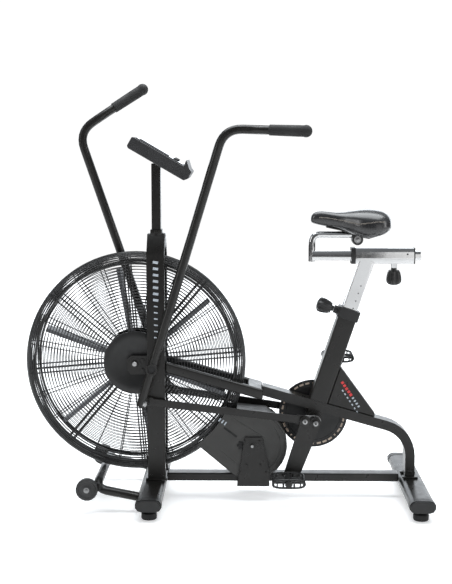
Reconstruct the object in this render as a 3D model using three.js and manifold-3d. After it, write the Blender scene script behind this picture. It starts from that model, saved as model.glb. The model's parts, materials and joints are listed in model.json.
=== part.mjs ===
// Air bike: a fan-resistance exercise bike with swinging handlebars.
// Millimetres, +Z up. The fan is at -X, the rider sits at +X and faces -X.
// "near" is the -Y side (the rider's left), "far" is the +Y side.
import * as THREE from "three";
import { mergeVertices } from "three/addons/utils/BufferGeometryUtils.js";
import Module from "manifold-3d";

const wasm = await Module();
wasm.setup();

// ---------------------------------------------------------------- driving dimensions
const GAP = 0.3;                       // air left between pieces that touch
const SIDES = [["near", -1], ["far", 1]];

const STABILIZER = { front: -228, rear: 608, width: 80, height: 38, z: 50, tube: 256, overall: 293 };
const FOOT = { y: 250 };
const RAIL = { half: 25, bottom: 54, top: 80.5 };
const FAN = { x: -286, z: 449, radius: 356, half: 45, hub: 100, blades: 6 };
const MAST = { x: -217.5, width: 57, inner: 48, outer: 72, shoulder: 798, top: 862 };
const PIVOT = { x: -227, z: 442.5, stub: 12, hub: 18.5, end: 136 };
const HANDLE = {
  y: 118, tube: 14.2, length: 784, lean: 16.9, lever: 114, leverBend: 3, bend: 75, turn: 75, flare: 16,
};
const CRANK = { x: 291, z: 266.5, arm: 190, forward: 27.5, link: 34.3, linkRise: 10 };
const LAYER = { web: [74, 80], link: [84, 90], arm: [94, 105], pedal: [116, 216] };
const JACK = { x: 90, z: 183, cover: 113, half: 62 };
const SPINE = { slope: 15.8, x: 285, z: 326, thick: 31, half: 30, rear: 618, bend: 120 };
const SEAT = { x: 304.1, z: 320.6, lean: 18.3, tube: 60, post: 48, collar: [282, 316], bottom: 125 };
const SLIDER = { rear: 607, front: 405.6, z: 792, bar: [291.5, 627] };
const SADDLE = { post: 280, tube: 10.8, z: 858.5, clamp: 424 };
const WHEEL = { x: -424.6, z: 79.4, radius: 34.5, y: [200, 222] };
const CONSOLE = { x: -198, z: 1105, length: 215, width: 190, thick: 42, tilt: 30.1 };

const rad = THREE.MathUtils.degToRad;

// ---------------------------------------------------------------- finishes
const FINISH = {
  powder: { color: 0x1c1c1d, roughness: 0.45, metalness: 0.35 },
  chrome: { color: 0xc9ccd0, roughness: 0.16, metalness: 1.0 },
  wire: { color: 0x141414, roughness: 0.4, metalness: 0.4 },
  blade: { color: 0x77797c, roughness: 0.45, metalness: 0.7 },
  plastic: { color: 0x151516, roughness: 0.5, metalness: 0.0 },
  rubber: { color: 0x111111, roughness: 0.85, metalness: 0.0 },
  leather: { color: 0x121213, roughness: 0.35, metalness: 0.0 },
  steel: { color: 0x8d9094, roughness: 0.35, metalness: 0.9 },
  screen: { color: 0x23272b, roughness: 0.2, metalness: 0.0 },
};

// ---------------------------------------------------------------- building blocks
function solidOf(geometry) {
  const bare = geometry.clone();
  bare.deleteAttribute("normal");
  bare.deleteAttribute("uv");
  const welded = mergeVertices(bare, 1e-3);
  const index = welded.index.array;
  const kept = [];
  for (let i = 0; i < index.length; i += 3) {
    const [a, b, c] = [index[i], index[i + 1], index[i + 2]];
    if (a !== b && b !== c && c !== a) kept.push(a, b, c);
  }
  return new wasm.Manifold(new wasm.Mesh({
    numProp: 3,
    vertProperties: new Float32Array(welded.attributes.position.array),
    triVerts: new Uint32Array(kept),
  }));
}

function geometryOf(solid) {
  const data = solid.getMesh();
  const geometry = new THREE.BufferGeometry();
  geometry.setAttribute("position", new THREE.BufferAttribute(new Float32Array(data.vertProperties), 3));
  geometry.setIndex(new THREE.BufferAttribute(new Uint32Array(data.triVerts), 1));
  return geometry;
}

function join(...shapes) {
  return geometryOf(shapes.map(solidOf).reduce((whole, next) => whole.add(next)));
}

function cut(shape, ...tools) {
  return geometryOf(tools.map(solidOf).reduce((whole, next) => whole.subtract(next), solidOf(shape)));
}

const group = new THREE.Group();

function piece(name, geometry, finish) {
  const mesh = new THREE.Mesh(geometry, new THREE.MeshStandardMaterial(FINISH[finish]));
  mesh.geometry.computeVertexNormals();
  mesh.name = name;
  group.add(mesh);
  return mesh;
}

function polygon(points) {
  return new THREE.Shape(points.map(([a, b]) => new THREE.Vector2(a, b)));
}

function disc(radius, sides, u = 0, v = 0) {
  const points = [];
  for (let i = 0; i < sides; i += 1) {
    const angle = (2 * Math.PI * (i + 0.5)) / sides;
    points.push([u + radius * Math.cos(angle), v + radius * Math.sin(angle)]);
  }
  return polygon(points);
}

function extruded(shape, depth) {
  return new THREE.ExtrudeGeometry(shape, { depth, bevelEnabled: false, curveSegments: 6 });
}

// A side view (x, z) given thickness across the bike, from y0 to y1.
function acrossBike(shape, y0, y1) {
  return extruded(shape, y1 - y0).rotateX(Math.PI / 2).translate(0, y1, 0);
}

// A front view (y, z) given length along the bike, from x0 to x1.
function alongBike(shape, x0, x1) {
  const turn = new THREE.Matrix4().set(0, 0, 1, x0, 1, 0, 0, 0, 0, 1, 0, 0, 0, 0, 0, 1);
  return extruded(shape, x1 - x0).applyMatrix4(turn);
}

function box(x0, x1, y0, y1, z0, z1) {
  const geometry = new THREE.BoxGeometry(x1 - x0, y1 - y0, z1 - z0);
  return geometry.translate((x0 + x1) / 2, (y0 + y1) / 2, (z0 + z1) / 2);
}

// A round bar lying across the bike on one side, between two distances from the middle.
function sideBar(side, x, z, radius, from, to, sides = 20) {
  const [y0, y1] = side < 0 ? [-to, -from] : [from, to];
  return acrossBike(disc(radius, sides, x, z), y0, y1);
}

function sidePlate(side, shape, from, to) {
  return side < 0 ? acrossBike(shape, -to, -from) : acrossBike(shape, from, to);
}

// A turned shape about the vertical through the origin; profile runs from axis to axis.
function turned(profile, sides = 14) {
  const points = profile.map(([r, z]) => new THREE.Vector2(r, z));
  return new THREE.LatheGeometry(points, sides).rotateX(Math.PI / 2);
}

// A path through given points, so that a bent tube has a section at each of them.
class Route extends THREE.Curve {
  constructor(points) {
    super();
    this.points = points;
  }

  getPoint(t) {
    const place = THREE.MathUtils.clamp(t, 0, 1) * (this.points.length - 1);
    const from = Math.min(Math.floor(place), this.points.length - 2);
    return this.points[from].clone().lerp(this.points[from + 1], place - from);
  }

  getPointAt(u) {
    return this.getPoint(u);
  }

  getTangentAt(u) {
    const reach = 0.5 / (this.points.length - 1);
    return this.getPoint(u + reach).sub(this.getPoint(u - reach)).normalize();
  }
}

function tubeAlong(points, radius, sides) {
  const extrudePath = new Route(points);
  const steps = points.length - 1;
  return new THREE.ExtrudeGeometry(disc(radius, sides), { steps, extrudePath, bevelEnabled: false });
}

// The points of a bend that starts at a, heads for corner and ends at b.
function bendPoints(a, corner, b, count) {
  return new THREE.QuadraticBezierCurve3(a, corner, b).getPoints(count);
}

function rounded(width, height, corner, u = 0, v = 0) {
  const points = [];
  for (const [sx, sy, start] of [[1, 1, 0], [-1, 1, 90], [-1, -1, 180], [1, -1, 270]]) {
    for (const step of [0, 45, 90]) {
      const angle = rad(start + step);
      points.push([
        u + sx * (width / 2 - corner) + corner * Math.cos(angle),
        v + sy * (height / 2 - corner) + corner * Math.sin(angle),
      ]);
    }
  }
  return polygon(points);
}

// An arm outline between two round ends.
function link(a, b, ra, rb, sides = 8) {
  const heading = Math.atan2(b[1] - a[1], b[0] - a[0]);
  const points = [];
  for (let i = 0; i <= sides; i += 1) {
    const angle = heading + Math.PI / 2 + (Math.PI * i) / sides;
    points.push([a[0] + ra * Math.cos(angle), a[1] + ra * Math.sin(angle)]);
  }
  for (let i = 0; i <= sides; i += 1) {
    const angle = heading - Math.PI / 2 + (Math.PI * i) / sides;
    points.push([b[0] + rb * Math.cos(angle), b[1] + rb * Math.sin(angle)]);
  }
  return polygon(points);
}

// ---------------------------------------------------------------- base
function flatOval(width, height) {
  const r = height / 2;
  const points = [];
  for (const [sign, start] of [[1, -90], [-1, 90]]) {
    for (let step = 0; step <= 5; step += 1) {
      const angle = rad(start + 36 * step);
      points.push([sign * (width / 2 - r) + r * Math.cos(angle), r * Math.sin(angle)]);
    }
  }
  return points;
}

function ovalBar(x, width, height, y0, y1) {
  const points = flatOval(width, height).map(([u, v]) => [x + u, STABILIZER.z + v]);
  return acrossBike(polygon(points), y0, y1);
}

function stabilizer(name, x) {
  const { width, height, tube, overall } = STABILIZER;
  const hole = (side) => turned([[0, 0], [6.5, 0], [6.5, 22], [0, 22]], 12).translate(x, side * FOOT.y, 20);
  piece(`${name}_stabilizer`, cut(ovalBar(x, width, height, -tube, tube), hole(-1), hole(1)), "powder");
  for (const [label, side] of SIDES) {
    const [y0, y1] = side < 0 ? [-overall + 6, -tube - GAP] : [tube + GAP, overall - 6];
    const lip = ovalBar(x, width + 3, height + 2, y0, y1);
    const [f0, f1] = side < 0 ? [-overall, -overall + 6] : [overall - 6, overall];
    const face = ovalBar(x, width - 5, height - 5, f0, f1);
    piece(`${label}_${name}_cap`, join(lip, face), "plastic");
    const profile = [[0, 0], [23, 0], [24.5, 4], [24.5, 17], [20, 22], [11, 22], [11, 30], [6, 30], [6, 40],
      [0, 40]];
    piece(`${label}_${name}_foot`, turned(profile).translate(x, side * FOOT.y, 0), "rubber");
  }
}

function lowerRail() {
  const ends = STABILIZER.width / 2 + GAP;
  const body = alongBike(rounded(2 * RAIL.half, RAIL.top - RAIL.bottom, 4, 0, (RAIL.top + RAIL.bottom) / 2),
    STABILIZER.front + ends, STABILIZER.rear - ends);
  piece("lower_rail", body, "powder");
}

// ---------------------------------------------------------------- mast and console
function mast() {
  const { x, width, inner, outer, shoulder, top } = MAST;
  const foot = STABILIZER.z + STABILIZER.height / 2 + GAP;
  const neck = 24;
  const outline = [[outer, foot], [outer, shoulder], [neck, top], [-neck, top], [-outer, shoulder],
    [-outer, foot], [-inner, foot], [-inner, shoulder - 6], [-30, FAN.z + FAN.radius + 12],
    [30, FAN.z + FAN.radius + 12],
    [inner, shoulder - 6], [inner, foot]];
  const arch = alongBike(polygon(outline), x - width / 2, x + width / 2);
  const post = box(x - 14.5, x + 14.5, -20, 20, top - 20, CONSOLE.z - 20);
  piece("mast", join(arch, post), "powder");
}

function consoleHead() {
  const { length, width, thick, tilt } = CONSOLE;
  const lean = (shape) => shape.rotateY(rad(tilt)).translate(CONSOLE.x, 0, CONSOLE.z);
  const under = 16 - thick;
  const shell = [[-length / 2, 10], [-length / 2, under + 5], [-length / 2 + 7, under],
    [length / 2 - 9, under], [length / 2, under + 11], [length / 2, 9], [length / 2 - 10, 13], [length / 2 - 33, 34],
    [length / 2 - 31, 13], [-length / 2 + 6, 13]];
  const housing = lean(acrossBike(polygon(shell), -width / 2, width / 2));
  const halfPost = 14.5 + GAP;
  const socket = box(MAST.x - halfPost, MAST.x + halfPost, -20 - GAP, 20 + GAP, 900, CONSOLE.z - 20 + GAP);
  piece("console_housing", cut(housing, socket), "plastic");
  const plate = lean(box(-length / 2 + 12, length / 2 - 36, -width / 2 + 10, width / 2 - 10, 13 + GAP, 16));
  piece("console_face", plate, "screen");
}

// ---------------------------------------------------------------- spine and drive supports
const slope = rad(SPINE.slope);

function spineTop(x) {
  return SPINE.z - (x - SPINE.x) * Math.tan(slope);
}

const CROSS = { front: 76, rear: 124 };

function frontFork() {
  const rise = SPINE.thick / Math.cos(slope) + 3;
  const start = MAST.x + MAST.width / 2 + GAP;
  const tube = (x) => spineTop(x) - 4;
  const outline = [[start, tube(start)], [CROSS.rear, tube(CROSS.rear)],
    [CROSS.rear, tube(CROSS.rear) - rise], [start, tube(start) - rise]];
  const cross = [[CROSS.front, tube(CROSS.front)], [CROSS.rear, tube(CROSS.rear)],
    [CROSS.rear, tube(CROSS.rear) - rise], [CROSS.front, tube(CROSS.front) - rise]];
  const arms = SIDES.map(([, side]) => sidePlate(side, polygon(outline), MAST.inner, MAST.outer));
  piece("front_fork", join(...arms, acrossBike(polygon(cross), -MAST.outer, MAST.outer)), "powder");
}

function rearSpine() {
  const { thick, half, rear, bend } = SPINE;
  const start = CROSS.rear + GAP;
  const foot = STABILIZER.z + STABILIZER.height / 2 + GAP;
  const turn = Math.PI / 2 - slope;
  const corner = spineTop(rear);
  const tangent = bend * Math.tan(turn / 2);
  const centre = [rear - bend, corner - tangent];
  const outer = [];
  const inner = [];
  for (let i = 0; i <= 8; i += 1) {
    const angle = turn * (1 - i / 8);
    outer.push([centre[0] + bend * Math.cos(angle), centre[1] + bend * Math.sin(angle)]);
    inner.push([centre[0] + (bend - thick) * Math.cos(angle), centre[1] + (bend - thick) * Math.sin(angle)]);
  }
  const drop = thick / Math.cos(slope);
  const outline = [[start, spineTop(start)], ...outer, [rear, foot], [rear - thick, foot], ...inner.reverse(),
    [start, spineTop(start) - drop]];
  const tube = acrossBike(polygon(outline), -half, half);
  const hanger = acrossBike(link([CRANK.x, CRANK.z], [CRANK.x + 6, 292], 25, 26), -28, 28);
  const shell = sideBar(1, CRANK.x, CRANK.z, 24, -34, 34, 24);
  const bore = sideBar(1, CRANK.x, CRANK.z, 12, -40, 40, 20);
  piece("rear_spine", cut(join(tube, hanger, shell), bore), "powder");
}

function driveBracket() {
  const plate = [[42, 50], [146, 50], [146, 105], [122, 211], [66, 211]];
  const sides = SIDES.map(([, side]) => sidePlate(side, polygon(plate), JACK.half + 4, JACK.half + 8));
  const base = box(42, 146, -JACK.half - 8, JACK.half + 8, 50, RAIL.bottom - GAP);
  const bores = sideBar(1, JACK.x, JACK.z, 8.4, -80, 80, 16);
  piece("drive_bracket", cut(join(...sides, base), bores), "powder");
}

function coverOutline(inset) {
  const round = [];
  for (let i = 0; i <= 14; i += 1) {
    const angle = rad(-128 + (195 * i) / 14);
    const r = JACK.cover - inset;
    round.push([JACK.x + r * Math.cos(angle), JACK.z + r * Math.sin(angle)]);
  }
  const reach = 331 + inset;
  const front = [];
  for (let i = 0; i <= 6; i += 1) {
    const angle = rad(-27 - (26 * i) / 6);
    front.push([FAN.x + reach * Math.cos(angle), FAN.z + reach * Math.sin(angle)]);
  }
  return polygon([...round, ...front]);
}

function driveCovers() {
  const wall = 3;
  const inside = (y0, y1) => acrossBike(coverOutline(wall), y0, y1);
  const fanRoom = acrossBike(disc(FAN.radius + 6, 32, FAN.x, FAN.z), -FAN.half - 5, FAN.half + 5);
  const railRoom = box(-300, 400, -RAIL.half - 30, RAIL.half + 30, 0, RAIL.top + 2);
  const bore = sideBar(1, JACK.x, JACK.z, 14, -80, 80, 16);
  for (const [label, side] of SIDES) {
    const [from, to] = side < 0 ? [-JACK.half, -GAP] : [GAP, JACK.half];
    const [roomFrom, roomTo] = side < 0 ? [-JACK.half + wall, 5] : [-5, JACK.half - wall];
    const rooms = [inside(roomFrom, roomTo), fanRoom, railRoom, bore];
    if (side > 0) rooms.push(acrossBike(disc(118, 40, CRANK.x, CRANK.z), -70, 70));
    piece(`${label}_drive_cover`, cut(acrossBike(coverOutline(0), from, to), ...rooms), "plastic");
  }
}

function jackshaft() {
  const shaft = sideBar(1, JACK.x, JACK.z, 8, -72, 72, 16);
  const large = sideBar(1, JACK.x, JACK.z, 74, -30, -26, 28);
  const small = sideBar(1, JACK.x, JACK.z, 36, 46, 50, 20);
  piece("jackshaft", join(shaft, large, small), "steel");
}

// ---------------------------------------------------------------- fan and guard
function ringBand(inner, outer, y0, y1, sides = 30) {
  const band = acrossBike(disc(outer, sides, FAN.x, FAN.z), y0, y1);
  return cut(band, acrossBike(disc(inner, sides, FAN.x, FAN.z), y0 - 1, y1 + 1));
}

function guard(label, side) {
  const { radius, half, hub } = FAN;
  const place = (from, to) => (side < 0 ? [-to, -from] : [from, to]);
  const parts = [];
  parts.push(ringBand(radius - 8, radius, ...place(0.4, 22)));
  parts.push(ringBand(212, 218, ...place(half - 5, half)));
  parts.push(ringBand(323, 331, ...place(half - 7, half - 1)));
  const cover = acrossBike(disc(hub, 24, FAN.x, FAN.z), ...place(half - 7, half + 2));
  parts.push(cut(cover, acrossBike(disc(15, 12, FAN.x, FAN.z), -60, 60)));
  for (let i = 0; i < 8; i += 1) {
    const angle = -rad(5 + 45 * i);
    const [f0, f1] = place(half - 4, half);
    const face = box(hub - 5, 329, f0, f1, -4, 4);
    const shoulder = [[322, half], [332, half], [radius, 22], [radius, 14], [radius - 7, 14],
      [322, half - 7]];
    const bend = alongAngle(shoulder, side);
    parts.push(join(face, bend).rotateY(angle).translate(FAN.x, 0, FAN.z));
  }
  piece(`${label}_guard`, join(...parts), "wire");
}

// A strip 8 mm wide whose outline is given by distance from the fan axis and distance from the middle.
function alongAngle(outline, side) {
  const shape = polygon(outline.map(([r, y]) => [r, side * y]));
  return extruded(shape, 8).translate(0, 0, -4);
}

function fan() {
  const barrel = acrossBike(disc(62, 24, FAN.x, FAN.z), -28, 28);
  const axle = sideBar(1, FAN.x, FAN.z, 10, -64, 64, 16);
  const sprocket = sideBar(1, FAN.x, FAN.z, 30, -34, -27, 24);
  piece("fan_hub", join(barrel, axle, sprocket), "steel");
  for (let i = 0; i < FAN.blades; i += 1) {
    const outline = [[63.2, -26], [84, -32], [306, -32], [306, 32], [84, 32], [63.2, 26]];
    const paddle = piece(`fan_blade_${i + 1}`, extruded(polygon(outline), 3).translate(0, 0, -1.5), "blade");
    paddle.position.set(FAN.x, 0, FAN.z);
    paddle.rotation.y = -rad(40 + 60 * i);
  }
}

function axlePlates() {
  const front = MAST.x - MAST.width / 2 - GAP;
  for (const [label, side] of SIDES) {
    const outline = [[FAN.x - 24, 428], [FAN.x - 12, 414], [front, 414], [front, 474], [FAN.x - 12, 474],
      [FAN.x - 24, 462]];
    const plate = sidePlate(side, polygon(outline), 52, 60);
    const bore = sideBar(side, FAN.x, FAN.z, 10.5, 40, 70, 16);
    const bolts = [-16, 16].map((dz) => sideBar(side, FAN.x + 24, FAN.z - 5 + dz, 6, 59, 65, 8));
    piece(`${label}_axle_plate`, cut(join(plate, ...bolts), bore), "powder");
  }
}

// ---------------------------------------------------------------- crank set
const LINK_ANGLE = rad(180 - CRANK.linkRise);

function crankPoint(radius, angle, side) {
  const sign = side < 0 ? 1 : -1;
  return [CRANK.x + sign * radius * Math.cos(angle), CRANK.z + sign * radius * Math.sin(angle)];
}

const linkPin = (side) => crankPoint(CRANK.link, LINK_ANGLE, side);
const pedalPin = (side) => crankPoint(CRANK.arm, rad(-90 - CRANK.forward), side);

// Teeth stand 2 mm either side of the pitch circle of a half-inch chain.
function chainwheelOutline(teeth) {
  const pitch = (12.7 * teeth) / (2 * Math.PI);
  const points = [];
  for (let i = 0; i < 2 * teeth; i += 1) {
    const angle = (Math.PI * i) / teeth;
    const r = i % 2 ? pitch + 2 : pitch - 2;
    points.push([CRANK.x + r * Math.cos(angle), CRANK.z + r * Math.sin(angle)]);
  }
  return polygon(points);
}

function crankSet() {
  const axle = sideBar(1, CRANK.x, CRANK.z, 10, 2 + GAP - LAYER.web[1], LAYER.web[1] - 2 - GAP, 20);
  piece("crank_axle", axle, "steel");
  const bore = sideBar(1, CRANK.x, CRANK.z, 10 + GAP, 20, 90, 20);
  const boss = sideBar(1, CRANK.x, CRANK.z, 22, 49, 70, 16);
  piece("chainwheel", cut(join(acrossBike(chainwheelOutline(52), 46, 50), boss), bore), "powder");
  const collar = sideBar(1, CRANK.x, CRANK.z, 30, 40, 46 - GAP, 16);
  const guardDisc = sideBar(1, CRANK.x, CRANK.z, 113, 38, 41, 40);
  piece("crank_guard_disc", cut(join(collar, guardDisc), bore), "plastic");
  for (const [label, side] of SIDES) {
    const centre = [CRANK.x, CRANK.z];
    const pin = linkPin(side);
    const foot = pedalPin(side);
    const web = sidePlate(side, link(centre, pin, 19, 14), ...LAYER.web);
    const hole = sideBar(side, ...centre, 10 + GAP, 60, LAYER.web[1] - 2, 20);
    const stub = sideBar(side, ...pin, 9, LAYER.web[1] - 1, LAYER.link[0] - 0.5, 12);
    piece(`${label}_crank_web`, join(cut(web, hole), stub), "steel");
    const wide = sidePlate(side, link(centre, foot, 18, 15), ...LAYER.arm);
    const shift = [centre[0] - pin[0], centre[1] - pin[1]];
    const toe = [foot[0] + 0.7 * shift[0], foot[1] + 0.7 * shift[1]];
    const strut = sidePlate(side, link(pin, foot, 13, 13), ...LAYER.arm);
    const brace = sidePlate(side, link(centre, toe, 17, 13), ...LAYER.arm);
    const tip = sidePlate(side, link(foot, toe, 15, 13), ...LAYER.arm);
    const middle = sidePlate(side, link(pin, toe, 12, 12), ...LAYER.arm);
    const outer = sideBar(side, ...pin, 9, LAYER.link[1] + 0.5, LAYER.arm[0] + 1, 12);
    const heads = [LAYER.arm[1] - 3, LAYER.arm[1] + 4];
    const bolts = [centre, pin].map((at) => sideBar(side, ...at, 7.5, ...heads, 12));
    const spindle = sideBar(side, ...foot, 7, LAYER.arm[1] - 1, LAYER.pedal[1] - 8, 12);
    piece(`${label}_crank_arm`, join(wide, strut, brace, tip, middle, outer, ...bolts, spindle), "powder");
    pedal(label, side, foot);
  }
}

function pedal(label, side, [x, z]) {
  const [from, to] = LAYER.pedal;
  const core = sideBar(side, x, z, 12, from, to, 12);
  const span = (a, b) => (side < 0 ? [-b, -a] : [a, b]);
  const cage = [];
  for (const sign of [-1, 1]) {
    const rail = [[x + sign * 42, z - 16], [x + sign * 54, z - 11], [x + sign * 54, z + 11],
      [x + sign * 42, z + 16]];
    cage.push(sidePlate(side, polygon(rail), from + 4, to - 4));
  }
  for (const at of [from + 6, (from + to) / 2 - 5, to - 16]) {
    const [y0, y1] = span(at, at + 10);
    cage.push(box(x - 44, x + 44, y0, y1, z - 9, z + 9));
  }
  const bore = sideBar(side, x, z, 7.6, from - 1, to - 6, 12);
  piece(`${label}_pedal`, cut(join(core, ...cage), bore), "plastic");
}

// ---------------------------------------------------------------- handlebars and link rods
// The near handlebar leans back by a known angle, which fixes the length that both link rods share.
const nearLever = rad(HANDLE.lean - HANDLE.leverBend);
const LINK_LENGTH = Math.hypot(
  linkPin(-1)[0] - PIVOT.x + HANDLE.lever * Math.sin(nearLever),
  linkPin(-1)[1] - PIVOT.z + HANDLE.lever * Math.cos(nearLever),
);

// Where the lever pin sits when the link rod joins it to the crank: two circles meet.
function leverPin(side) {
  const [cx, cz] = linkPin(side);
  const dx = cx - PIVOT.x;
  const dz = cz - PIVOT.z;
  const apart = Math.hypot(dx, dz);
  const along = (apart ** 2 + HANDLE.lever ** 2 - LINK_LENGTH ** 2) / (2 * apart);
  const off = Math.sqrt(HANDLE.lever ** 2 - along ** 2);
  return [PIVOT.x + (along * dx + off * dz) / apart, PIVOT.z + (along * dz - off * dx) / apart];
}

// Lean of the handlebar tube from the vertical, positive toward the rider.
function handleLean(side) {
  const [x, z] = leverPin(side);
  return THREE.MathUtils.radToDeg(Math.atan2(PIVOT.x - x, PIVOT.z - z)) + HANDLE.leverBend;
}

function handlePath(side) {
  const { y, length, bend, turn, flare } = HANDLE;
  const tangent = bend * Math.tan(rad(turn) / 2);
  const dir = [Math.sin(rad(turn)), Math.cos(rad(turn))];
  const at = (d, out = 0) => new THREE.Vector3(dir[0] * d, side * (y + out), length + dir[1] * d);
  const start = new THREE.Vector3(0, side * y, -HANDLE.lever - 12);
  const bendStart = new THREE.Vector3(0, side * y, length - tangent);
  const corner = new THREE.Vector3(0, side * y, length);
  const knee = 104;
  const reach = 262;
  const out = Math.tan(rad(flare));
  const path = [
    start,
    ...bendPoints(bendStart, corner, at(tangent), 7),
    ...bendPoints(at(knee - 30), at(knee), at(knee + 30, 30 * out), 3),
    at(reach, (reach - knee) * out),
  ];
  return { path, at, knee, reach, out };
}

function handlebars() {
  for (const [label, side] of SIDES) {
    const { path, at, knee, reach, out } = handlePath(side);
    const lean = handleLean(side);
    const pose = (mesh) => {
      mesh.position.set(PIVOT.x, 0, PIVOT.z);
      mesh.rotation.y = rad(lean);
    };
    const tube = tubeAlong(path, HANDLE.tube, 10);
    const hub = sideBar(side, 0, 0, PIVOT.hub, LAYER.link[1] + 2, PIVOT.end, 16);
    const bore = sideBar(side, 0, 0, PIVOT.stub + 0.4, 60, 140, 16);
    const swing = rad(180 - HANDLE.leverBend);
    const pin = [HANDLE.lever * Math.sin(swing), HANDLE.lever * Math.cos(swing)];
    const eye = sideBar(side, ...pin, 16, LAYER.link[1] + 1, 124, 14);
    const stud = sideBar(side, ...pin, 6, LAYER.link[0] - 2, 110, 12);
    pose(piece(`${label}_handlebar`, join(cut(join(tube, hub), bore), eye, stud), "powder"));
    const along = (d) => at(d, (d - knee) * out);
    const grip = tubeAlong([along(knee + 36), along(reach + 6)], 17, 12);
    const cover = tubeAlong([along(knee + 30), along(reach + 0.4)], HANDLE.tube + 1.2, 12);
    pose(piece(`${label}_grip`, cut(grip, cover), "rubber"));
    const stub = sideBar(side, PIVOT.x, PIVOT.z, PIVOT.stub, MAST.outer + GAP, PIVOT.end - 4, 16);
    piece(`${label}_pivot`, stub, "steel");
    const a = leverPin(side);
    const b = linkPin(side);
    const rod = sidePlate(side, link(a, b, 15, 15), ...LAYER.link);
    const waists = [1, -1].map((sign) => sidePlate(side, waist(a, b, sign), 70, 120));
    piece(`${label}_link_rod`, cut(rod, ...waists, sideBar(side, ...a, 6.4, 70, 120, 12)), "powder");
  }
}

// The strip removed from one edge of a link rod so that it is slimmer between its eyes.
function waist(a, b, sign) {
  const length = Math.hypot(b[0] - a[0], b[1] - a[1]);
  const t = [(b[0] - a[0]) / length, (b[1] - a[1]) / length];
  const n = [-t[1] * sign, t[0] * sign];
  const at = (s, h) => [a[0] + t[0] * s + n[0] * h, a[1] + t[1] * s + n[1] * h];
  const points = [at(18, 20), at(30, 12), at(length - 30, 12), at(length - 18, 20)];
  return polygon(points);
}

// ---------------------------------------------------------------- seat
const lean = rad(SEAT.lean);
const UP = [Math.sin(lean), Math.cos(lean)];

function seatPoint(s, forward = 0) {
  return [SEAT.x + s * UP[0] - forward * UP[1], SEAT.z + s * UP[1] + forward * UP[0]];
}

// A rounded-square bar along the seat tube axis from s0 to s1.
function seatBar(width, corner, s0, s1) {
  const bar = extruded(rounded(width, width, corner), s1 - s0).translate(0, 0, s0);
  return bar.rotateY(lean).translate(SEAT.x, 0, SEAT.z);
}

function seatFrame() {
  const { tube, post, collar } = SEAT;
  const below = polygon([[150, 0], [560, 0], [560, spineTop(560) + GAP], [150, spineTop(150) + GAP]]);
  const trim = acrossBike(below, -60, 60);
  piece("seat_tube", cut(seatBar(tube, 5, -40, 300), seatBar(post + 1.2, 4, 8, 320), trim), "powder");
  const edge = tube / 2 + GAP;
  const top = seatPoint(131, -edge);
  const bottom = seatPoint(0, -edge);
  const triangle = [[bottom[0] - 12, spineTop(bottom[0] - 12)], [487, spineTop(487)],
    [487, spineTop(487) + 12], top];
  const tubeSide = [seatPoint(-60, 60), seatPoint(200, 60), seatPoint(200, -edge), seatPoint(-60, -edge)];
  const clear = acrossBike(polygon(tubeSide), -60, 60);
  piece("gusset", cut(acrossBike(polygon(triangle), -27, 27), trim, clear), "powder");
  const sleeve = seatBar(tube + 10, 6, ...collar);
  const room = join(seatBar(tube + 2 * GAP, 5, 200, 300 + GAP), seatBar(post + 1.2, 4, 200, 400));
  const boss = knobTurn(turned([[0, 32], [13, 32], [13, 48], [0, 48]], 16));
  const bore = knobTurn(turned([[0, 20], [5.4, 20], [5.4, 60], [0, 60]], 12));
  piece("seat_collar", cut(join(sleeve, boss), room, bore), "plastic");
  piece("post_knob", knobTurn(knob(31, 57)), "plastic");
}

const KNOB_AT = 299;

// Turns a shape built on the vertical so that it stands out from the front of the seat collar.
function knobTurn(shape) {
  const [x, z] = seatPoint(KNOB_AT);
  return shape.rotateY(lean - Math.PI / 2).translate(x, 0, z);
}

function knob(pin, base) {
  return turned([[0, pin], [5, pin], [5, base - 6], [9, base - 6], [9, base], [17, base], [21, base + 8],
    [25, base + 32], [24, base + 41], [17, base + 47], [0, base + 49]], 14);
}

function sliderProfile(grow) {
  const [w, ridge, h] = [20 + grow, 28 + grow, 25 + grow];
  return polygon([[w, h], [-w, h], [-ridge, -5], [-w, -h], [w, -h], [ridge, -5]]);
}

function barProfile(grow) {
  const [w, ridge, h] = [13 + grow, 19 + grow, 15 + grow];
  return polygon([[w, h], [-w, h], [-ridge, -3], [-w, -h], [w, -h], [ridge, -3]]);
}

function seatSlider() {
  const { front, rear, z, bar } = SLIDER;
  const postTop = (z - 25 - SEAT.z) / UP[1] + 12;
  const post = seatBar(SEAT.post, 4, SEAT.bottom, postTop);
  const sleeve = alongBike(sliderProfile(0), front, rear).translate(0, 0, z);
  const bore = alongBike(barProfile(0.6), front - 10, rear + 10).translate(0, 0, z);
  const boss = turned([[0, 752], [10, 752], [11, 768], [0, 768]], 16).translate(543, 0, 0);
  const hole = turned([[0, 700], [5.4, 700], [5.4, 775], [0, 775]], 12).translate(543, 0, 0);
  piece("seat_post", cut(join(post, sleeve, boss), bore, hole), "chrome");
  const down = knob(-769.5, -745).rotateX(Math.PI).translate(543, 0, 0);
  piece("slider_knob", down, "plastic");
  const { post: x, tube, z: high, clamp } = SADDLE;
  const rod = alongBike(barProfile(0), x, bar[1]).translate(0, 0, z);
  const r = 26;
  const v = (px, pz) => new THREE.Vector3(px, 0, pz);
  const path = [v(x, 772), ...bendPoints(v(x, high - r), v(x, high), v(x + r, high), 5), v(clamp + 30, high)];
  piece("saddle_slider", join(rod, tubeAlong(path, tube, 14)), "chrome");
}

// Saddle sections from nose to tail: x, half width, top, side seam and underside heights.
const SADDLE_SECTIONS = [
  [274, 6, 912, 904, 897], [282, 19, 924, 908, 892], [312, 25, 934, 911, 886], [350, 29, 931, 909, 879],
  [385, 44, 930, 902, 873], [415, 68, 935, 894, 858], [450, 87, 940, 888, 848], [485, 92, 939, 884, 852],
  [512, 80, 926, 886, 866], [529, 40, 905, 889, 878],
];

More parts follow.
